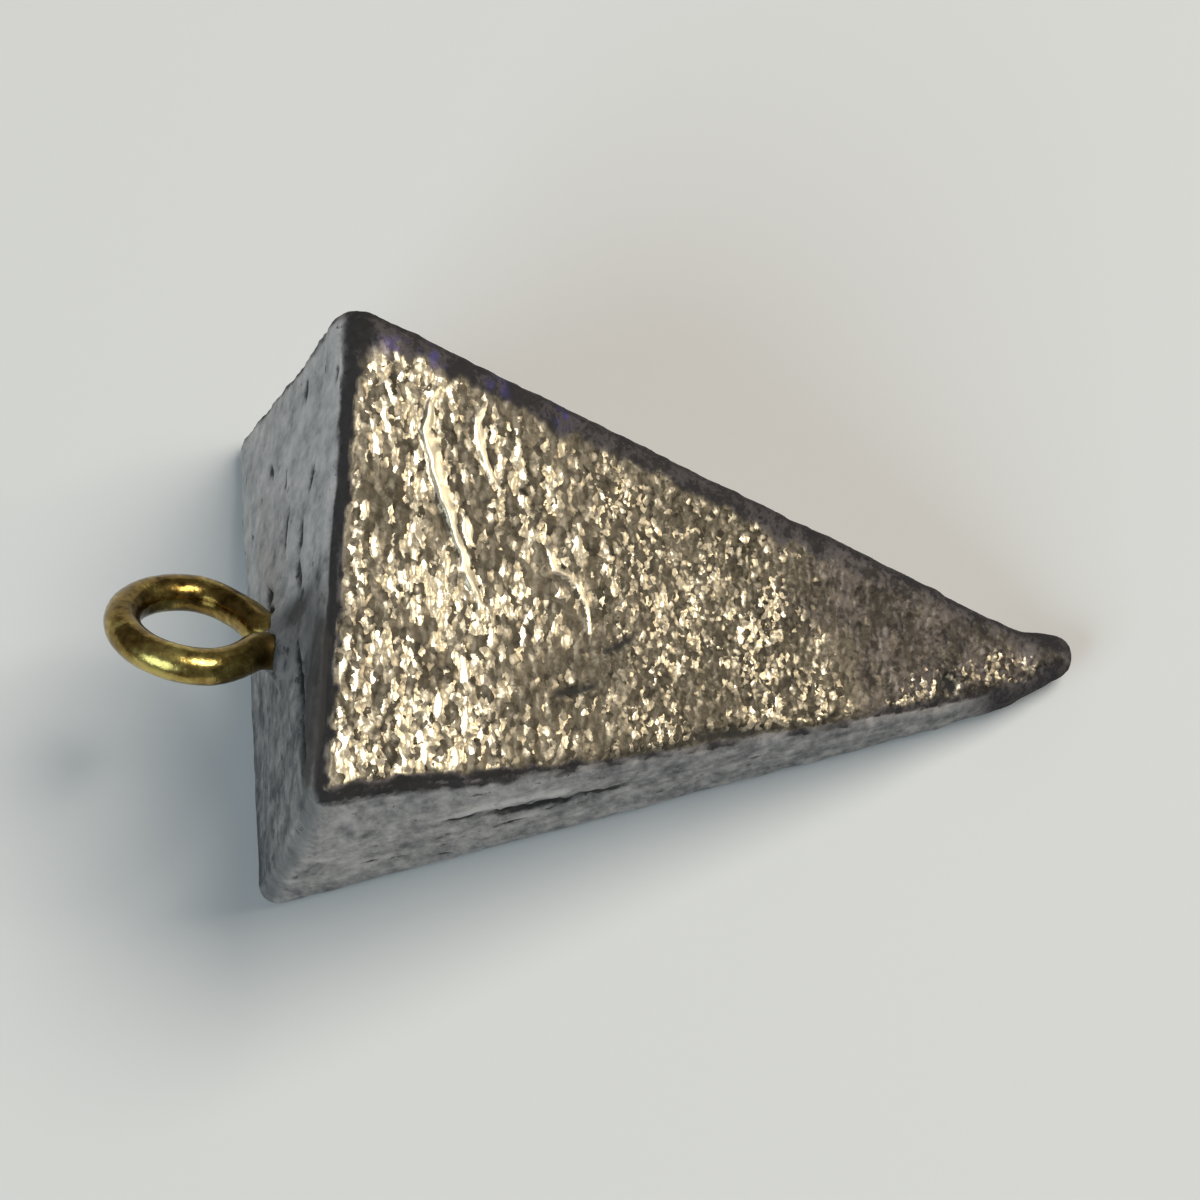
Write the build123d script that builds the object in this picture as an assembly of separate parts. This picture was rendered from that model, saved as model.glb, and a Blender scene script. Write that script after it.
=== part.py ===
from build123d import *
import os
from math import asin, atan2, cos, degrees, hypot, radians, sin

# A cast lead pyramid sinker, lying on one of its four sides, with a brass wire eye cast into its base.
# Millimetres. +X runs from the eye to the nose, +Y away from the viewer and +Z up.
# Both pieces are drawn with the pyramid's axis along X, and are laid down on the resting side at the end.

# Lead body
BASE_SIDE = 24.0            # square base, across two opposite sides, before its edges are rounded
NOSE_SIDE = 2.9             # the same square where the tapered sides end and the nose begins
TAPER_LENGTH = 36.2         # from the ridge of the base to the end of the tapered sides
FAR_DRAFT = 3.6             # degrees that the base's upper far half falls away from the parting line
NEAR_DRAFT = 6.2            # the same for its lower near half
EDGE_RADIUS = 0.85          # rounding of every edge of the pyramid
NOSE_LENGTH = 1.95          # blunt nose past the tapered sides, where the casting was parted from its sprue
NOSE_WIDTH = 2.1            # diameter of the nose's round end
NOSE_ROOT_WIDTH = 3.7       # diameter of the nose where it grows out of the pyramid
NOSE_ROOT_DEPTH = 2.0       # how far inside the end of the tapered sides the nose begins
NOSE_SET = 0.6              # how far the soft nose is pushed sideways, along +Y
NOSE_LIFT = 0.25            # how far the nose's end stays clear of what the sinker lies on

# Wire eye
WIRE_DIAMETER = 1.7
EYE_INSIDE = 4.75           # clear width inside the ring
EYE_STANDOFF = 3.8          # from the ridge of the base to the ring's centre
LEG_OFFSET = 2.4            # from the pyramid's axis to the middle of the pair of legs, along the ridge
EYE_LEAN = -0.55            # from the middle of the legs to the ring's centre, along the ridge
NECK_INSIDE = 0.35          # inside radius of the two bends that close the ring
LEG_GAP = 0.6               # between the two legs
LEG_DEPTH = 9.0             # straight part of a leg below the ridge of the base
ANCHOR_INSIDE = 1.2         # inside radius of the bend that spreads a leg inside the lead
ANCHOR_SPREAD = 40.0        # degrees that the anchor tail is bent away from its leg
ANCHOR_TAIL = 3.0           # straight part of the anchor tail

# Largest share of the small end's width that the rounding of its edges may take on each side
ROUNDING_SHARE = 0.45

AXIS = Vector(1, 0, 0)
PARTING_NORMAL = Vector(0, 1, 1).normalized()   # the mould opens across this diagonal
RIDGE = Vector(0, -1, 1).normalized()           # the parting line across the base, and the eye's width
TAPER = (BASE_SIDE - NOSE_SIDE) / 2 / TAPER_LENGTH


def pyramid():
    """Tapered square body whose base is a low ridge along the parting line, with every edge rounded.

    A sharp core, set in from every face by the edge radius, is grown back out by that radius.
    """
    radius = min(EDGE_RADIUS, ROUNDING_SHARE * NOSE_SIDE)
    set_in = radius * hypot(1, TAPER)
    core_length = TAPER_LENGTH - radius
    base_half = BASE_SIDE / 2 - set_in
    end_half = base_half - TAPER * core_length
    lower_half = [(0, -base_half), (core_length, -end_half)]
    upper_half = [(core_length, end_half), (0, base_half)]
    side_view = Polygon(*lower_half, *upper_half, align=None)
    upright = extrude(Plane.XZ * side_view, amount=BASE_SIDE, both=True)
    sideways = extrude(Plane.XY * side_view, amount=BASE_SIDE, both=True)
    core = upright & sideways
    for opening, draft in ((PARTING_NORMAL, FAR_DRAFT), (PARTING_NORMAL * -1, NEAR_DRAFT)):
        inward = AXIS * cos(radians(draft)) - opening * sin(radians(draft))
        core = split(core, bisect_by=Plane(inward * radius, z_dir=inward), keep=Keep.TOP)
    return offset(core, radius, kind=Kind.ARC)


def blunt_nose():
    """Round tapered stub with a ball end, leaning to one side."""
    root = AXIS * (TAPER_LENGTH - NOSE_ROOT_DEPTH)
    end_radius = NOSE_WIDTH / 2
    resting_side = TAPER * NOSE_LENGTH - NOSE_SIDE / 2
    ball = Vector(TAPER_LENGTH + NOSE_LENGTH - end_radius, NOSE_SET, resting_side + NOSE_LIFT + end_radius)
    reach = (ball - root).length
    profile = [
        Line((0, 0), (NOSE_ROOT_WIDTH / 2, 0)),
        Line((NOSE_ROOT_WIDTH / 2, 0), (end_radius, reach)),
        CenterArc((0, reach), end_radius, 0, 90),
        Line((0, reach + end_radius), (0, 0)),
    ]
    stub = revolve(Plane.XZ * make_face(profile), axis=Axis.Z)
    return Plane(root, z_dir=ball - root) * stub


def wire_points(side):
    """Points on one side of the eye where the wire's centre line turns from straight to bent or back."""
    wire_radius = WIRE_DIAMETER / 2
    eye_radius = EYE_INSIDE / 2 + wire_radius
    neck_radius = NECK_INSIDE + wire_radius
    anchor_radius = ANCHOR_INSIDE + wire_radius
    spread = radians(ANCHOR_SPREAD)
    leg = LEG_GAP / 2 + wire_radius
    reach = leg - side * EYE_LEAN
    closing = asin((reach + neck_radius) / (eye_radius + neck_radius))
    neck_height = EYE_STANDOFF - (eye_radius + neck_radius) * cos(closing)
    ring_end = (EYE_STANDOFF - eye_radius * cos(closing), EYE_LEAN + side * eye_radius * sin(closing))
    leg_top = (neck_height, side * leg)
    leg_foot = (-LEG_DEPTH, side * leg)
    bend_end = (-LEG_DEPTH - anchor_radius * sin(spread), side * (leg + anchor_radius * (1 - cos(spread))))
    tail_end = (bend_end[0] - ANCHOR_TAIL * cos(spread), bend_end[1] + side * ANCHOR_TAIL * sin(spread))
    return [tail_end, bend_end, leg_foot, leg_top, ring_end]


def wire_eye():
    """One length of wire: anchor tail, leg, neck bend, ring, and back down the other side."""
    route = wire_points(1) + wire_points(-1)[::-1]
    bent = [False, True, False, True, True, True, False, True, False]
    run = [Line(route[0], route[1])]
    for end, is_bent in zip(route[2:], bent[1:]):
        start = run[-1] @ 1
        run.append(TangentArc(start, end, tangent=run[-1] % 1) if is_bent else Line(start, end))
    legs_plane = Plane(RIDGE * LEG_OFFSET, x_dir=AXIS * -1, z_dir=PARTING_NORMAL)
    path = legs_plane * Wire(run)
    section = Plane(path @ 0, z_dir=path % 0) * Circle(WIRE_DIAMETER / 2)
    return sweep(section, path=path)


wire = wire_eye()
body = pyramid() + blunt_nose() - wire

# Laid down on the side that faces -Z, with the origin under the middle of the whole sinker
lie_down = Rot(Y=degrees(atan2(TAPER, 1)))
outline = Compound([lie_down * body, lie_down * wire]).bounding_box()
rest = Pos(-outline.center().X, -outline.center().Y, -outline.min.Z) * lie_down

os.makedirs("parts", exist_ok=True)
export_step(rest * body, "parts/lead_body.step")
export_step(rest * wire, "parts/wire_eye.step")
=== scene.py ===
import bmesh
import bpy
import numpy as np
from mathutils import Matrix, Vector, noise


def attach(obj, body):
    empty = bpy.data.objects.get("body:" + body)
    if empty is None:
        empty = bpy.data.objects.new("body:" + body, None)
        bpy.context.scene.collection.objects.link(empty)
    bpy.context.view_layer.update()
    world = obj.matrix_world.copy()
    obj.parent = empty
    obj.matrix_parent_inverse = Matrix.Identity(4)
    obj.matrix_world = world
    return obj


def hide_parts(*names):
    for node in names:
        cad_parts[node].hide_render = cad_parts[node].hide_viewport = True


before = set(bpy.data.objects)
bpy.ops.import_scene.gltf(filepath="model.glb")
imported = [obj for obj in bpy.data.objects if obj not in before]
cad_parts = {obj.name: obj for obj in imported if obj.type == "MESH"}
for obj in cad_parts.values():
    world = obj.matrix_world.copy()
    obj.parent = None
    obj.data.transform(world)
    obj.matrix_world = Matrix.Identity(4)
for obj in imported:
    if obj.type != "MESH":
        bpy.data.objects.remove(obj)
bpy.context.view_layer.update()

# Lead body: one casting, poured into a mould of two halves that part along a diagonal, and left as cast.
# The upper side chilled into a coarse bright grain, with folds where two runs of metal met.
# The other sides are dull and streaked, and handling has darkened the edges of the upper side.

# Sizes and places on both pieces are in millimetres until their points are set
MM_PER_METRE = 1000
LEAD_PITCH = 0.33               # size of the faces of the even mesh
BASE_SIDE = 24.0                # square base, across two opposite sides, before its edges are rounded
NOSE_SIDE = 2.9                 # the same square where the tapered sides end and the nose begins
TAPER_LENGTH = 36.2             # from the ridge of the base to the end of the tapered sides
TAPER = np.arctan2((BASE_SIDE - NOSE_SIDE) / 2, TAPER_LENGTH)
FAR_DRAFT = np.radians(3.6)     # how the base's upper far half falls away from the parting line
NEAR_DRAFT = np.radians(6.2)    # the same for its lower near half
NOSE_START = 15.8               # along X, from where the soft nose is blended into the pyramid
NOSE_SMOOTHINGS = 16            # rounds of that blending
FINE_TURN = 0.6                 # cosine up to which a face counts as upper and is cut finer
FINE_ROUND_LEGS = 2.3           # how far round the wire's legs the faces are cut finer


def evenly_meshed(node, name, pitch):
    """A copy of a CAD piece in millimetres, with all of its faces about one pitch across."""
    piece = bpy.data.objects.new(name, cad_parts[node].data.copy())
    bpy.context.scene.collection.objects.link(piece)
    piece.data.transform(Matrix.Scale(MM_PER_METRE, 4))
    remesh = piece.modifiers.new("even_faces", "REMESH")
    remesh.mode = "VOXEL"
    remesh.voxel_size = pitch
    graph = bpy.context.evaluated_depsgraph_get()
    piece.data = bpy.data.meshes.new_from_object(piece.evaluated_get(graph))
    piece.modifiers.clear()
    return piece


def points_of(mesh, name):
    """The places or the normals of a mesh's points, one row each."""
    values = np.empty(len(mesh.vertices) * 3)
    mesh.vertices.foreach_get(name, values)
    return values.reshape(-1, 3)


def laid_down(direction):
    """A direction on the upright pyramid, turned with it onto the side that it lies on."""
    return np.array(Matrix.Rotation(TAPER, 3, "Y") @ Vector(direction))


def half_base(draft, half):
    """The way that a half of the base faces; half is 1 for the far one and -1 for the near one."""
    fall = half * np.sin(draft) / np.sqrt(2)
    return laid_down((-np.cos(draft), fall, fall))


# The way that each flat side of the casting faces, and how far it lies from the origin that way
FACES = {
    "upper": laid_down((np.sin(TAPER), 0, np.cos(TAPER))),
    "near": laid_down((np.sin(TAPER), -np.cos(TAPER), 0)),
    "far": laid_down((np.sin(TAPER), np.cos(TAPER), 0)),
    "under": laid_down((np.sin(TAPER), 0, -np.cos(TAPER))),
    "base_far": half_base(FAR_DRAFT, 1),
    "base_near": half_base(NEAR_DRAFT, -1),
}
pyramid = points_of(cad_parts["lead_body"].data, "co") * MM_PER_METRE
pyramid = pyramid[pyramid[:, 0] < NOSE_START]
REACH = {side: (pyramid @ normal).max() for side, normal in FACES.items()}


def ease(value, low, high):
    """Smooth step from 0 at low to 1 at high."""
    share = np.clip((value - low) / (high - low), 0, 1)
    return share * share * (3 - 2 * share)


def peak(value, middle, width):
    """1 where a value is at the middle, and falling off over the width on both sides of it."""
    return np.exp(-((value - middle) / width) ** 2)


def spot(places, middle, radii):
    """1 at the middle of a soft spot, and falling off over its radii along X, Y and Z."""
    return np.exp(-np.sum(((places - middle) / radii) ** 2, axis=1))


def ripple(places, per_mm, seed):
    """Smooth noise from -1 to 1 at each place, with so many waves per millimetre along X, Y and Z."""
    return np.array([noise.noise(place) for place in (places * per_mm + seed * 13.7).tolist()])


def beside(places, line):
    """How far each place lies from a line of points, and its share of the way along that line.

    The distance is below 0 on the left of the line, towards the base.
    """
    line = np.array(line)
    nearest = np.full(len(places), 1e9)
    signed = nearest.copy()
    share = np.zeros(len(places))
    lengths = np.linalg.norm(np.diff(line, axis=0), axis=1)
    done = 0
    for start, end, length in zip(line, line[1:], lengths):
        run = end - start
        along = np.clip((places - start) @ run / length ** 2, 0, 1)
        off = places - start - along[:, None] * run
        distance = np.linalg.norm(off, axis=1)
        closer = distance < nearest
        nearest[closer] = distance[closer]
        signed[closer] = (distance * np.where(off[:, 0] > 0, 1, -1))[closer]
        share[closer] = (done + along[closer] * length) / lengths.sum()
        done += length
    return signed, share


# Folds on the upper side where two runs of metal met: half width, height and line
FOLDS = [
    (0.23, 0.14, [(-6.51, 8.52, 19.93), (-6.99, 7.36, 20.24), (-7.21, 6.16, 20.38), (-6.85, 5.22, 20.15),
                  (-6.48, 3.77, 19.91), (-6.01, 2.15, 19.62), (-5.57, 1.08, 19.33), (-5.11, -0.35, 19.04),
                  (-4.43, -2.29, 18.61)]),
    (0.17, 0.09, [(-5.48, 2.71, 19.28), (-5.29, 1.91, 19.16), (-5.14, 1.02, 19.06)]),
    (0.16, 0.09, [(-4.45, 8.23, 18.62), (-4.98, 7.06, 18.96), (-4.74, 5.71, 18.81), (-4.37, 4.62, 18.57),
                  (-3.84, 3.70, 18.23)]),
    (0.13, 0.08, [(-1.96, 1.96, 17.04), (-1.42, 0.67, 16.69), (-0.55, 0.22, 16.13), (-0.09, -0.86, 15.85),
                  (0.15, -2.43, 15.69)]),
]

# Cracks, slits, wrinkles and shrink holes: half width, depth, darkness of the painted shade in them, and
# line.
# The base has a crack that runs up to the near corner, small shrink holes, and a deep hole below the legs.
BASE_SLITS = [
    (0.30, 0.35, 1.7, [(-13.0, -2.9, 17.2), (-12.4, -5.2, 19.0), (-12.1, -7.4, 20.0), (-11.9, -9.0, 20.9)]),
    (0.36, 0.12, 1.0, [(-12.45, 5.2, 17.6), (-12.6, 4.2, 17.3)]),
    (0.44, 0.14, 1.1, [(-13.96, 4.4, 13.25), (-14.14, 2.7, 12.9)]),
    (0.36, 0.12, 1.0, [(-13.0, 3.2, 16.1), (-13.0, 1.8, 16.3)]),
    (0.40, 0.13, 1.0, [(-13.0, 9.9, 15.3), (-13.3, 9.4, 14.6)]),
    (0.34, 0.10, 0.9, [(-15.4, 7.8, 8.5), (-15.2, 7.1, 9.1)]),
    (0.34, 0.10, 0.9, [(-14.3, 6.6, 11.9), (-14.2, 5.9, 12.2)]),
    (0.30, 0.10, 0.8, [(-11.0, 8.9, 21.2), (-11.1, 8.2, 21.0)]),
    (0.36, 0.13, 1.0, [(-13.2, 1.3, 15.8), (-12.9, -0.1, 17.0)]),
    (0.45, 0.55, 1.9, [(-15.2, 1.35, 9.2), (-14.8, 0.65, 11.4)]),
]

# The near side has a long slit, in three runs with a deeper core.
# Small holes lie below it, and a scratch to its right.
NEAR_SLITS = [
    (0.50, 0.12, 1.3, [(-6.5, -9.7, 11.9), (-5.2, -9.3, 11.6)]),
    (0.92, 0.18, 1.6, [(-4.2, -9.0, 11.0), (-3.1, -8.6, 10.2), (-1.8, -8.2, 9.3), (-0.6, -7.8, 8.8)]),
    (0.34, 0.32, 1.8, [(-4.0, -8.95, 10.8), (-3.1, -8.6, 10.15), (-1.8, -8.2, 9.25), (-0.4, -7.8, 8.8)]),
    (0.70, 0.13, 1.5, [(-0.6, -7.8, 9.0), (0.4, -7.55, 8.8), (1.2, -7.3, 8.8)]),
    (0.45, 0.12, 1.5, [(-4.2, -8.7, 7.0), (-3.7, -8.55, 6.85)]),
    (0.38, 0.10, 1.4, [(-10.5, -10.4, 6.1), (-10.2, -10.3, 5.9)]),
    (0.34, 0.09, 1.3, [(-9.5, -10.0, 5.3), (-9.3, -9.95, 5.2)]),
    (0.36, 0.09, 1.3, [(-7.6, -9.2, 2.5), (-7.2, -9.1, 2.3)]),
    (0.30, 0.15, 0.9, [(4.5, -6.15, 12.9), (6.2, -5.6, 11.8), (7.6, -5.3, 10.9)]),
]

# The upper side has a hole by the nose and two wrinkles round its dent
UPPER_SLITS = [
    (0.34, 0.26, 1.5, [(15.8, -1.65, 5.6), (16.5, -1.65, 5.3)]),
    (0.16, 0.08, 1.0, [(-1.43, -4.93, 16.70), (-0.50, -4.68, 16.10), (0.50, -4.20, 15.47)]),
    (0.15, 0.07, 1.0, [(0.69, -2.75, 15.35), (1.20, -2.35, 15.02), (1.93, -1.75, 14.55)]),
]
SLITS = BASE_SLITS + NEAR_SLITS + UPPER_SLITS

# Where the two legs of the wire go into the base, and a lump of lead beside them
LEGS_MOUTH = (-14.27, -1.70, 13.15)
LEGS_LUMP = (-13.8, -2.6, 14.3)

# The far corner of the base: a bulge on its edge, a part that stands out, and its blunted dark tip
FAR_BULGE = (-12.3, 10.9, 17.2)
FULL_CORNER = (-11.1, 10.9, 20.6)
BLUNT_TIP = (-10.4, 10.6, 22.3)
DARK_TIP = (-10.2, 10.3, 22.2)

# A shallow dent in the upper side, which is not shaped but darkened with painted shade, and blue tarnish
# spots along its far edge
DENT = (0.5, -3.4, 15.5)
TARNISH_SPOTS = [(-8.6, 9.9, 21.3), (-6.9, 9.6, 20.2), (-4.1, 8.7, 18.4), (-1.2, 8.0, 16.6)]

# Dirt on the base: above the legs, along the upper edge by the near corner, and in a narrow stain.
# Each has its weight, middle and radii.
DIRT_SPOTS = [
    (0.55, (-12.6, -2.4, 18.2), (6.0, 1.9, 4.5)),
    (1.40, (-11.6, -6.5, 21.6), (6.0, 4.5, 1.7)),
    (0.95, (-12.8, -1.2, 17.0), (6.0, 0.9, 3.2)),
]

# A lip above the long slit of the near side, with a painted highlight along it, and small clean crystals
# along the near half of the nose
NEAR_LIP_HIGHLIGHT = [(-6.2, -9.7, 12.9), (-4.4, -9.25, 13.1), (-3.1, -8.85, 12.6), (-1.5, -8.4, 12.1)]
NOSE_GLINTS = [(13.8, -2.8, 7.0), (15.3, -1.9, 6.0), (17.2, -1.2, 4.8), (18.8, -0.4, 3.9), (20.1, -0.3, 3.2)]

lead = evenly_meshed("lead_body", "cast_lead_body", LEAD_PITCH)

# The nose, which was still soft when it was parted from its sprue, is blended into the pyramid.
# Then the faces are cut in three each way where the grain, the slits and the legs need finer ones.
grid = bmesh.new()
grid.from_mesh(lead.data)
nose = [point for point in grid.verts if point.co.x > NOSE_START]
for _ in range(NOSE_SMOOTHINGS):
    bmesh.ops.smooth_vert(grid, verts=nose, factor=0.5, use_axis_x=True, use_axis_y=True, use_axis_z=True)
grid.normal_update()
grid.faces.ensure_lookup_table()
middles = np.array([face.calc_center_median() for face in grid.faces])
finer = np.array([face.normal for face in grid.faces]) @ FACES["upper"] > FINE_TURN
finer |= np.linalg.norm(middles - LEGS_MOUTH, axis=1) < FINE_ROUND_LEGS
for width, _, _, line in SLITS:
    finer |= np.abs(beside(middles, line)[0]) < 0.1 + 1.1 * width
cuts = {edge for face, wanted in zip(grid.faces, finer) if wanted for edge in face.edges}
bmesh.ops.subdivide_edges(grid, edges=list(cuts), cuts=2, use_grid_fill=True)
grid.to_mesh(lead.data)
grid.free()

# Where each point is, which way it faces, and how much it belongs to each side or to a rounded edge
place = points_of(lead.data, "co")
outward = points_of(lead.data, "normal")
x, y, z = place.T
to_left, to_near, to_far = -outward[:, 0], -outward[:, 1], outward[:, 1]
facing = {side: outward @ normal for side, normal in FACES.items()}
inside = {side: REACH[side] - place @ normal for side, normal in FACES.items()}
on = {side: ease(value, 0.90, 0.985) for side, value in facing.items()}
on_base = np.maximum(on["base_far"], on["base_near"])
rounded = 1 - ease(np.max(list(facing.values()), axis=0), 0.86, 0.985)
upper_skin = ease(facing["upper"], 0.72, 0.88)
near_corner = rounded * ease(to_near, 0.2, 0.5) * ease(to_left, 0.2, 0.5) * (1 - upper_skin)
rightness = ease(x, -5, 7)

# Slow unevenness of the casting, beaten edges, the far corner of the base, and a slight neck at the nose
lift = 0.05 * ripple(place, 0.16, 1) + 0.03 * ripple(place, 0.45, 2)
beaten = rounded * (1 - 0.5 * ease(x, 5, 12)) * (1 - 0.75 * near_corner)
lift += beaten * (0.09 * ripple(place, 0.55, 3) + 0.05 * ripple(place, 1.3, 4))
lift += 0.30 * spot(place, FAR_BULGE, (2.0, 1.0, 2.6)) * ease(to_far, 0.1, 0.8)
lift -= 0.15 * spot(place, BLUNT_TIP, 1.2)
lift += 0.22 * ease(x, 18.0, 20.5) - 0.18 * peak(x, 19.6, 0.7)

# Folds of the upper side: a steep left flank, and a smooth slope to the right that takes the light
swells = ripple(place, (1.0, 0.55, 1.0), 7)
ragged = ripple(place, 1.1, 16)
lips = np.zeros(len(place))
hollow = np.zeros(len(place))
for width, height, line in FOLDS:
    apart, share = beside(place, line)
    apart = apart + 0.18 * swells + 0.10 * ragged
    width = width * (0.55 + 0.75 * peak(share, 0.42, 0.27))
    ends = ease(share, 0, 0.15) * (1 - ease(share, 0.85, 1.0)) * on["upper"]
    flank = ease(apart, -width, -0.4 * width)
    slope = 1 - ease(apart, -0.4 * width, 2.6 * width)
    groove = peak(apart, -1.5 * width, 0.6 * width) * ends
    lift += height * (flank * slope - 0.3 * groove) * ends
    lip = flank * (1 - ease(apart, 0.6 * width, 1.8 * width)) * ends
    lips = np.maximum(lips, lip * np.clip(0.9 + 0.6 * ragged, 0, 1))
    # Painted shade darkens the groove beside each fold
    hollow = np.maximum(hollow, 0.5 * groove)

# Grain of the upper side, drawn out across it and finer to the right
grain = (1 - rightness) * ripple(place, (2.6, 1.6, 2.6), 5)
grain += rightness * 0.7 * ripple(place, (4.0, 3.5, 4.0), 6)
lift += on["upper"] * (1 - 0.8 * lips) * (0.05 * swells + 0.095 * grain)

# Dark handled margins of the upper side
from_far = inside["far"] + 0.05 * rightness + 0.45 * ragged + 0.25 * grain
far_band = upper_skin * (1 - ease(from_far, 1.05, 1.75)) * (1 - 0.5 * ease(x, 8, 15))
near_reach = 0.90 - 0.55 * rightness + 0.45 * ease(x, 10, 14)
near_band = upper_skin * (1 - ease(inside["near"] + 0.25 * ragged, 0.5 * near_reach - 0.15, near_reach))
left_band = upper_skin * (1 - ease(inside["base_far"] + 0.55 * ragged + 0.40 * grain, 0.35, 0.75))

# Soot on its right end, past a slanted border, painted shade in the dent, and how much of its grain sparkles
fading = x + 0.30 * y + 0.5 * ragged
far_soot = ease(x, 6.5, 12.5) * ease(y + 0.10 * (x - 12), -1.6, 0.8)
end_soot = 0.92 * ease(fading, 9.8, 12.2)
soot = np.maximum(upper_skin * np.maximum(far_soot, end_soot), ease(x, 17.5, 19.0))
clusters = ripple(place, (0.45, 0.30, 0.45), 17) + 0.6 * ripple(place, (1.5, 0.9, 1.5), 18)
by_left = 1 - ease(inside["base_far"] + 0.5 * ragged, 0.5, 1.7)
by_near = 1 - ease(inside["near"], 0.8, 3.2)
dent_shade = spot(place, DENT, (1.7, 1.5, 1.7))
sparkle = 0.50 - 0.10 * rightness + (0.38 - 0.14 * rightness) * clusters
sparkle -= 0.32 * ease(fading, 9.6, 12.0) + 0.34 * by_left + 0.10 * peak(x, 0, 4) + 0.28 * dent_shade
sparkle += 0.20 * (1 - ease(x, -7, -1)) * (1 - ease(y, -8, -4)) + 0.12 * by_near * peak(x, 10.5, 2.0)
sparkle = np.clip(sparkle, 0.06, 0.85) * (1 - 0.9 * soot)
# Painted shade: the dent is darker and has fewer bright crystals
soot = np.maximum(soot, 0.35 * upper_skin * dent_shade)
nose_glints = peak(beside(place, NOSE_GLINTS)[0], 0, 0.9)
glint_skin = np.maximum(on["upper"], ease(facing["upper"], 0.55, 0.85) * ease(x, 12, 14))
sparkle = (sparkle + 0.38 * nose_glints) * glint_skin * (1 - far_band) * (1 - near_band) * (1 - left_band)
fineness = np.maximum(rightness * (1 - 0.9 * ease(x, 9, 12)), nose_glints)

# Lumps on the other sides, a collar of lead round the legs, and the slits
lumps = ripple(place, 0.9, 8)
pitting = ripple(place, 2.3, 19)
lift += (1 - upper_skin) * (1 - 0.75 * near_corner) * (0.05 * lumps + 0.025 * ripple(place, 1.7, 9))
mouth = spot(place, LEGS_MOUTH, 1.7)
collar = (mouth + 0.6 * spot(place, LEGS_LUMP, 1.0)) * on_base
lift += (0.75 + 0.45 * lumps + 0.2 * pitting) * collar + 0.3 * mouth * (1 - on_base)
for width, depth, darkness, line in SLITS:
    apart, share = beside(place, line)
    apart = np.abs(apart + 0.45 * width * (lumps + pitting))
    ends = ease(share, -0.2, 0.2) * (1 - ease(share, 0.8, 1.2))
    cut = peak(apart, 0, width) * ends
    rim = peak(apart, 2.1 * width, width) * ends
    lift += 0.20 * depth * rim - depth * cut
    # Painted shade darkens the hollow of each slit
    hollow = np.maximum(hollow, darkness * cut)
lift = np.where(on["under"] > 0.2, np.minimum(lift, 0), lift)

# Dark edges round the upper side, fainter along the far one, chipped along the near one, fading to the nose
turned = facing["upper"] - 0.15 * ease(facing["base_far"], 0.0, 0.3)
uneven = facing["upper"] + 0.10 * ragged + 0.08 * grain
chipped = 0.25 + 0.45 * ease(ragged, -0.5, 0.4)
edge = rounded * ease(turned, -0.1, 0.35) * (1 - ease(uneven, 0.76, 0.94)) * (1 - 0.65 * ease(x, 9, 18))
edge *= 1 - 0.55 * ease(to_far, 0.2, 0.5) * ease(x, -9, -6)
edge *= 1 - chipped * ease(to_near, 0.2, 0.5) * ease(x, -8, -2)

# Darkness past those edges: down the near and the far side, round the base's other edges, and on the nose
strip_reach = 1.8 - 1.1 * ease(x, -10, -3)
strip = 1 - ease(inside["upper"] + 0.4 * ragged, 0.4 * strip_reach, strip_reach)
strip *= ease(facing["near"], 0.4, 0.7) * (1 - ease(x, -2, 4))
beyond = (1 - ease(inside["far"], 0.3, 1.2)) * (1 - ease(inside["upper"], 0.5, 1.6))
back_edge = ease(facing["base_far"], 0.3, 0.6) * (1 - ease(facing["base_far"], 0.94, 0.998)) * ease(y, 2, 8)
# Painted shade along the foot of the base, where it meets the table top
base_foot_shade = on_base * (1 - ease(z + 0.6 * ragged, 0.1, 1.0))
back_edge = np.maximum(back_edge, base_foot_shade) * np.clip(0.65 + 0.8 * ragged, 0, 1)
dark_tip = upper_skin * spot(place, DARK_TIP, 1.6)
nose_foot = ease(x, NOSE_START, 18.6) * ease(to_near, 0.15, 0.5)
edge = np.maximum.reduce([edge, 0.66 * far_band, near_band, left_band, 0.75 * beyond, 0.52 * strip,
                          0.8 * back_edge, 1.1 * dark_tip, 0.7 * nose_foot])
edge = np.clip(edge, 0, 0.88)

# Tarnish, dirt, paler and darker parts of the dull sides, mostly painted light and shade, and where their
# streaks are calm
tarnish = np.clip(sum(spot(place, middle, 0.5) for middle in TARNISH_SPOTS), 0, 1)
tarnish *= ease(ripple(place, 2.2, 15), -0.3, 0.3)
dirt = np.maximum.reduce([weight * spot(place, middle, radii) for weight, middle, radii in DIRT_SPOTS])
dirt *= ease(np.maximum(facing["base_far"], facing["base_near"]), 0.45, 0.75)
# Painted light and shade: the base's far half lighter and its near half darker as the light falls on them,
# and a darker near corner
pale = on_base * (1.05 * ease(y + 1.2 * ragged, -4.0, 3.0) - 0.40) + on["near"] * (0.22 - 0.34 * rightness)
# A painted highlight along the lip above the long slit of the near side
pale += 0.9 * peak(beside(place, NEAR_LIP_HIGHLIGHT)[0], 0, 0.7) - 0.35 * near_corner
pale += 0.30 * on["base_far"] * (1 - ease(inside["upper"], 0.8, 2.5))
calm = 0.5 * on["far"] + 0.6 * rounded * (1 - upper_skin) + 0.3 * near_corner

# The points move out by the lift. Then the far corner stands out, the near edge is worn back, and the nose
# is pushed to the far side.
shaped = place + outward * lift[:, None]
worn = peak(shaped[:, 0], -9.5, 5.0) * ease(shaped[:, 2], 13, 21) * (1 - ease(inside["near"], 0.5, 4.0))
shaped[:, 0] -= 0.38 * spot(place, FULL_CORNER, (1.5, 1.4, 1.6))
shaped[:, 1] += 0.55 * worn + 0.12 * ease(shaped[:, 0], 17, 20)
lead.data.vertices.foreach_set("co", (shaped / MM_PER_METRE).ravel())
lead.data.shade_smooth()


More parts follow.
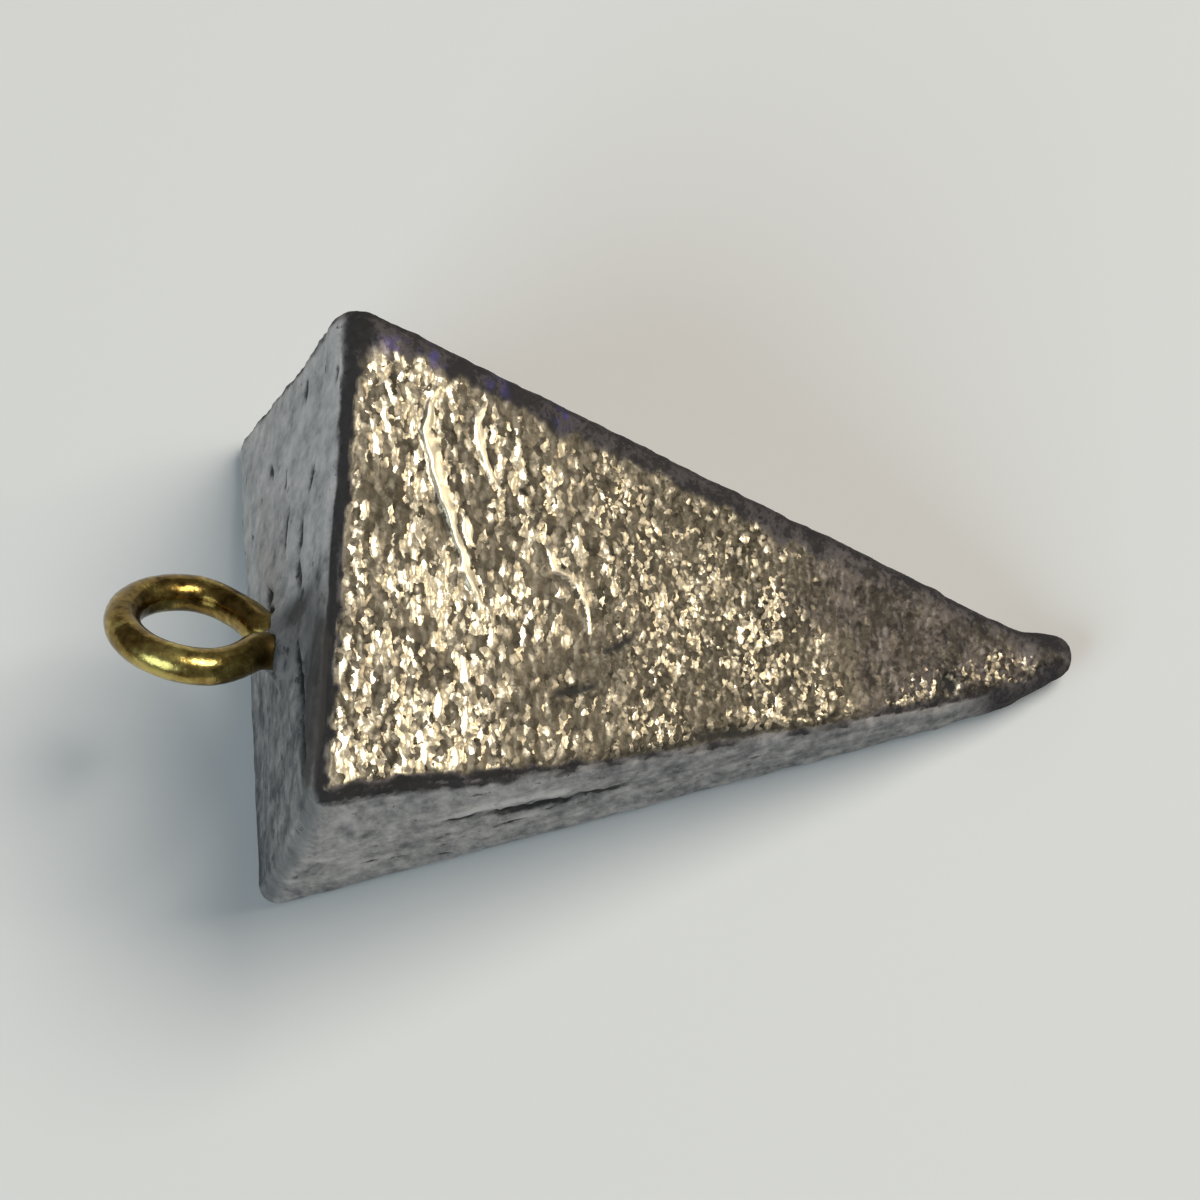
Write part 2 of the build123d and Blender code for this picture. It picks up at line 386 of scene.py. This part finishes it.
def draw_on(mesh, marks):
    """Keep each named set of values with the mesh's points, where its material reads them."""
    for name, values in marks.items():
        kept = mesh.attributes.new(name, "FLOAT", "POINT")
        kept.data.foreach_set("value", values.astype(np.float32))


lead_marks = {"edge": edge, "hollow": hollow, "sparkle": sparkle, "lip": lips, "tarnish": tarnish,
              "soot": soot, "upper": upper_skin, "fineness": fineness, "pale": pale, "dirt": dirt,
              "calm": calm}
draw_on(lead.data, lead_marks)


class Shade:
    """One output of a shader node. Sums and products of these add Math nodes."""

    def __init__(self, socket):
        self.socket = socket

    def node(self, kind, settings, inputs, output=0):
        """An output of a new node, whose settings are made first and whose inputs are then set or linked."""
        tree = self.socket.id_data
        made = tree.nodes.new(kind)
        for name, value in settings.items():
            if name == "stops":
                while len(made.color_ramp.elements) < len(value):
                    made.color_ramp.elements.new(0.5)
                for element, (position, colour) in zip(made.color_ramp.elements, value):
                    element.position = position
                    element.color = colour
            else:
                setattr(made, name, value)
        for name, value in inputs.items():
            if isinstance(value, Shade):
                tree.links.new(value.socket, made.inputs[name])
            else:
                made.inputs[name].default_value = value
        return Shade(made.outputs[output])

    def feed(self, socket):
        """Link this output to a socket of the material's shader."""
        self.socket.id_data.links.new(self.socket, socket)

    def maths(self, operation, first, second):
        return self.node("ShaderNodeMath", {"operation": operation}, {0: first, 1: second})

    def __add__(self, other):
        return self.maths("ADD", self, other)

    def __sub__(self, other):
        return self.maths("SUBTRACT", self, other)

    def __rsub__(self, other):
        return self.maths("SUBTRACT", other, self)

    def __mul__(self, other):
        return self.maths("MULTIPLY", self, other)

    __radd__ = __add__
    __rmul__ = __mul__


def raw_metal(name, marks):
    """A new material, its shader, the place of each point on the piece, and the marks drawn on it."""
    material = bpy.data.materials.new(name)
    material.use_nodes = True
    nodes = material.node_tree.nodes
    places = Shade(nodes.new("ShaderNodeTexCoord").outputs["Object"])
    read = {mark: places.node("ShaderNodeAttribute", {"attribute_name": mark}, {}, "Fac") for mark in marks}
    return material, nodes["Principled BSDF"], places, read


def cloud(places, scale, detail):
    """Fractal noise about 0.5, with so many waves per metre along X, Y and Z."""
    stretched = places.node("ShaderNodeMapping", {}, {"Vector": places, "Scale": scale})
    noise_inputs = {"Vector": stretched, "Scale": 1.0, "Detail": detail, "Roughness": 0.62}
    return places.node("ShaderNodeTexNoise", {}, noise_inputs, "Fac")


def step(value, low, high):
    """Smooth step of a shader value from 0 at low to 1 at high."""
    return value.node("ShaderNodeMapRange", {"interpolation_type": "SMOOTHSTEP"},
                      {"Value": value, "From Min": low, "From Max": high})


def mix(share, first, second):
    """Colour that goes from the first to the second with the share."""
    return share.node("ShaderNodeMix", {"data_type": "RGBA"}, {0: share, 6: first, 7: second}, 2)


def ramp(value, stops):
    """Colour that a value picks from a row of stops."""
    return value.node("ShaderNodeValToRGB", {"stops": stops}, {"Fac": value})


DULL_LEAD = [(0.37, (0.085, 0.088, 0.092, 1)), (0.50, (0.245, 0.240, 0.236, 1)),
             (0.64, (0.468, 0.447, 0.430, 1)), (0.76, (0.615, 0.585, 0.562, 1))]
WARM_OXIDE = [(0.36, (0.050, 0.044, 0.033, 1)), (0.52, (0.135, 0.118, 0.088, 1)),
              (0.70, (0.30, 0.265, 0.20, 1))]
CLEAN_CRYSTAL = (0.66, 0.585, 0.435, 1)
CLEAN_FOLD = (0.74, 0.66, 0.50, 1)
DARK_GRIME = (0.028, 0.026, 0.028, 1)
GREY_GRIME = (0.112, 0.099, 0.100, 1)
BLACK_EDGE = (0.020, 0.019, 0.019, 1)
BROWN_DIRT = (0.050, 0.045, 0.039, 1)
PIT_SHADE = (0.045, 0.043, 0.040, 1)
SLIT_SHADE = (0.028, 0.027, 0.025, 1)
BLUE_TARNISH = (0.085, 0.070, 0.24, 1)

cast_lead, lead_skin, at, marked = raw_metal("cast_lead", lead_marks)
blotch = cloud(at, (420.0, 420.0, 420.0), 5.0)
speck = cloud(at, (3200.0, 3200.0, 3200.0), 3.0)
mottle = cloud(at, (950.0, 700.0, 300.0), 5.0)
scuff = cloud(at, (2600.0, 1900.0, 700.0), 4.0)
pitted = step(cloud(at, (1000.0, 1000.0, 800.0), 4.0), 0.65, 0.69) * (1.0 - marked["upper"])

# Crystals of the upper side: large and small cells with wandering borders, each one bright or dull
BORDER_WANDER = (0.0005, 0.0005, 0.0005)        # in metres
LARGE_CRYSTALS = (3100.0, 1900.0, 3100.0)       # to the metre along X, Y and Z
SMALL_CRYSTALS = (4200.0, 3000.0, 4200.0)
wander = at.node("ShaderNodeTexNoise", {}, {"Vector": at, "Scale": 2800.0, "Detail": 3.0}, "Color")
shifted = at.node("ShaderNodeVectorMath", {"operation": "MULTIPLY_ADD"}, {0: wander, 1: BORDER_WANDER, 2: at})
small_share = step(marked["fineness"] + blotch - 0.5, 0.45, 0.50)
cells = {"Color": [], "Distance": []}
for per_metre in (LARGE_CRYSTALS, SMALL_CRYSTALS):
    sized = at.node("ShaderNodeMapping", {}, {"Vector": shifted, "Scale": per_metre})
    for output, found in cells.items():
        found.append(at.node("ShaderNodeTexVoronoi", {}, {"Vector": sized, "Scale": 1.0}, output))
cell = mix(small_share, *cells["Color"])
border = mix(small_share, *cells["Distance"])
bright = step(cell + marked["sparkle"] + 1.2 * marked["lip"] - 0.30 * (border - 0.42), 0.88, 1.22)

# Colour: dull sides, oxide and clean crystals on the upper side, and then the dark marks over them, with
# painted shade along the foot of the base and in slits and pits
streaks = 0.50 * mottle + 0.35 * scuff - 0.425
mottling = 0.35 * (blotch - 0.5) + streaks * (1.0 - marked["calm"])
# The dull colour carries the painted light and shade of the dull sides
dull = ramp(0.525 + mottling + 0.185 * marked["pale"], DULL_LEAD)
# The oxide is painted a little lighter to the left, where more of the lamp's reflection falls
oxide = ramp(0.35 * blotch + 0.35 * speck + 0.30 * cell + 0.03 - 0.03 * marked["fineness"], WARM_OXIDE)
grime = mix(step(mottle + 0.5 * (speck - 0.5), 0.44, 0.60), DARK_GRIME, GREY_GRIME)
dark_edge = step(marked["edge"] + 0.5 * (speck - 0.5), 0.15, 0.7)
black_edge = step(marked["edge"] + 0.8 * (speck - 0.5) + (mottle - 0.5), 0.6, 0.95)
dirty = step(marked["dirt"] + (mottle - 0.5) + 0.9 * (scuff - 0.5), 0.25, 0.80)
# Painted shade in slits, holes and fold grooves
slit = step(marked["hollow"] + 0.9 * (mottle - 0.5) + 0.9 * (speck - 0.5), 0.15, 1.0)
upper = mix(bright, oxide, mix(marked["lip"], CLEAN_CRYSTAL, CLEAN_FOLD))
colour = mix(marked["upper"], dull, upper)
# Soot, and the painted shade in the dent, darken the upper side
colour = mix(marked["soot"] * (1.0 - bright) * 0.7, colour, grime)
colour = mix(dark_edge * 0.97, colour, mix(black_edge, grime, BLACK_EDGE))
colour = mix(dirty * 0.85, colour, BROWN_DIRT)
# Painted shade in the small pits of the dull sides
colour = mix(pitted * 0.75, colour, PIT_SHADE)
colour = mix(slit * 0.93, colour, SLIT_SHADE)
colour = mix(marked["tarnish"] * 0.7, colour, BLUE_TARNISH)
colour.feed(lead_skin.inputs["Base Color"])

# Finish: the clean crystals are smooth metal, and what is dark or dirty is rough and hardly metallic
rough = 0.72 - 0.22 * marked["upper"] - 0.20 * bright + 0.08 * marked["lip"] + 0.16 * (speck - 0.5)
rough = rough + 0.3 * (slit + dark_edge + dirty)
rough.feed(lead_skin.inputs["Roughness"])
metal = (0.15 + 0.85 * marked["upper"]) * (1.0 - slit) * (1.0 - 0.8 * dark_edge) * (1.0 - dirty)
metal.feed(lead_skin.inputs["Metallic"])
relief = 0.5 * speck + 0.5 * (mottle + scuff - 1.0) * (1.0 - marked["calm"])
relief = relief - 0.7 * pitted - 0.5 * marked["upper"] * border
relief = relief * (1.0 - 0.9 * marked["lip"]) * (0.6 + 0.4 * marked["upper"])
bump = at.node("ShaderNodeBump", {}, {"Strength": 0.7, "Distance": 0.00006, "Height": relief})
bump.feed(lead_skin.inputs["Normal"])
lead_skin.inputs["Specular IOR Level"].default_value = 0.15
lead.data.materials.clear()
lead.data.materials.append(cast_lead)
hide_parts("lead_body")
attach(lead, "root")

# Wire eye: one length of drawn brass wire, bent round a pin into a ring and cast into the base by its legs.
# The bends of its neck were squeezed until the wire touched itself, the far one more than the near one.
# It has gone dull and brown, and its colour is painted lighter yellow on the near limb, where its highlight
# falls.
WIRE_PITCH = 0.10
FAR_SQUEEZE = 0.46
NEAR_SQUEEZE = 0.28
HIGHLIGHT_SPOT = (-18.6, -3.6, 16.3)
PATINA = [(0.36, (0.075, 0.043, 0.010, 1)), (0.50, (0.275, 0.182, 0.047, 1)), (0.64, (0.56, 0.45, 0.14, 1))]
WIRE_DIRT = (0.070, 0.046, 0.018, 1)

wire = evenly_meshed("wire_eye", "brass_wire_eye", WIRE_PITCH)
place = points_of(wire.data, "co")
outward = points_of(wire.data, "normal")
dents = 0.018 * ripple(place, 0.8, 21) + 0.008 * ripple(place, 2.6, 22)
along_ridge = laid_down((0, -np.sqrt(0.5), np.sqrt(0.5)))
above = (place - LEGS_MOUTH) @ laid_down((-1, 0, 0))
across = (place - LEGS_MOUTH) @ along_ridge
squeeze = np.where(across < 0, FAR_SQUEEZE, -NEAR_SQUEEZE)
squeeze *= ease(above, -1.0, 0.4) * (1 - ease(above, 1.0, 3.4))
bent = place + outward * dents[:, None] + squeeze[:, None] * along_ridge
wire.data.vertices.foreach_set("co", (bent / MM_PER_METRE).ravel())
wire.data.shade_smooth()
wire_marks = {"dirt": ease(place[:, 0], -15.3, -14.4), "rubbed": spot(place, HIGHLIGHT_SPOT, (2.6, 1.2, 1.2))}
draw_on(wire.data, wire_marks)

old_brass, brass_skin, at, marked = raw_metal("old_brass", wire_marks)
stain = cloud(at, (420.0, 420.0, 420.0), 6.0)
fleck = cloud(at, (2400.0, 2400.0, 2400.0), 3.0)
grit = cloud(at, (7000.0, 7000.0, 7000.0), 2.0)
# Painted highlight: the brass is lighter where the highlight falls on the near limb
patina = ramp(0.65 * stain + 0.35 * fleck + 0.16 * marked["rubbed"] - 0.02, PATINA)
patina = mix(0.7 * marked["dirt"], patina, WIRE_DIRT)
patina.feed(brass_skin.inputs["Base Color"])
polish = 0.02 + 0.27 * stain + 0.12 * fleck + 0.06 * grit + 0.3 * marked["dirt"]
polish.feed(brass_skin.inputs["Roughness"])
nicks = at.node("ShaderNodeBump", {}, {"Strength": 0.6, "Distance": 0.00003, "Height": fleck + 0.35 * grit})
nicks.feed(brass_skin.inputs["Normal"])
brass_skin.inputs["Metallic"].default_value = 1.0
wire.data.materials.clear()
wire.data.materials.append(old_brass)
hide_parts("wire_eye")
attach(wire, "root")

# Table top: a plain sheet of pale matt card, much larger than the sinker.
# It lies flat under the sinker and only carries its shadow.
HALF_CARD = 1.5
card = bpy.data.meshes.new("table_top")
corners = [(-HALF_CARD, -HALF_CARD, 0), (HALF_CARD, -HALF_CARD, 0), (HALF_CARD, HALF_CARD, 0),
           (-HALF_CARD, HALF_CARD, 0)]
card.from_pydata(corners, [], [(0, 1, 2, 3)])
table = bpy.data.objects.new("table_top", card)
bpy.context.scene.collection.objects.link(table)
pale_card = bpy.data.materials.new("pale_card")
pale_card.use_nodes = True
card_skin = pale_card.node_tree.nodes["Principled BSDF"]
card_skin.inputs["Base Color"].default_value = (0.67, 0.67, 0.655, 1)
card_skin.inputs["Roughness"].default_value = 0.9
card_skin.inputs["Specular IOR Level"].default_value = 0.1
card.materials.append(pale_card)

# Light: a weak warm lamp low on the right, a ceiling lamp, and cool daylight from the left and the front.
# A dim room fills the shadows. Each lamp has its direction, distance, width, power and colour.
LAMPS = {
    "warm_lamp": ((0.95, 0.25, 0.20), 0.60, 0.14, 0.6, (1.0, 0.86, 0.66)),
    "ceiling_lamp": ((0.42, 0.21, 0.88), 0.70, 0.34, 3.7, (1.0, 0.955, 0.88)),
    "daylight": ((-0.55, -0.50, 0.67), 0.60, 0.42, 1.4, (0.70, 0.88, 1.0)),
}
for name, (towards, away, size, watts, tone) in LAMPS.items():
    lamp = bpy.data.lights.new(name, "AREA")
    lamp.shape = "DISK"
    lamp.size = size
    lamp.energy = watts
    lamp.color = tone
    holder = bpy.data.objects.new(name, lamp)
    holder.location = Vector(towards).normalized() * away
    holder.rotation_euler = (-Vector(towards)).to_track_quat("-Z", "Y").to_euler()
    bpy.context.scene.collection.objects.link(holder)
room = bpy.data.worlds.new("dim_room")
room.use_nodes = True
room.node_tree.nodes["Background"].inputs["Color"].default_value = (0.97, 0.98, 1.0, 1)
room.node_tree.nodes["Background"].inputs["Strength"].default_value = 0.16
bpy.context.scene.world = room

# Camera: a long lens close above the sinker, a little to the front of it.
# It looks down at the upper side, so that the base and the near side show at a low angle.
CAMERA_PLACE = (0.013835, -0.062979, 0.253267)
LOOKING_BACK = (0.0543, -0.2545, 0.9655)
UPWARD = (-0.0041, 0.9669, 0.2551)
view = bpy.data.cameras.new("camera")
view.sensor_width = 36.0
view.lens = 165.0
view.clip_start = 0.01
camera = bpy.data.objects.new("camera", view)
back = Vector(LOOKING_BACK).normalized()
right = Vector(UPWARD).cross(back).normalized()
turn = Matrix((right, back.cross(right), back)).transposed().to_4x4()
camera.matrix_world = Matrix.Translation(CAMERA_PLACE) @ turn
bpy.context.scene.collection.objects.link(camera)
bpy.context.scene.camera = camera
bpy.context.scene.view_settings.view_transform = "Standard"
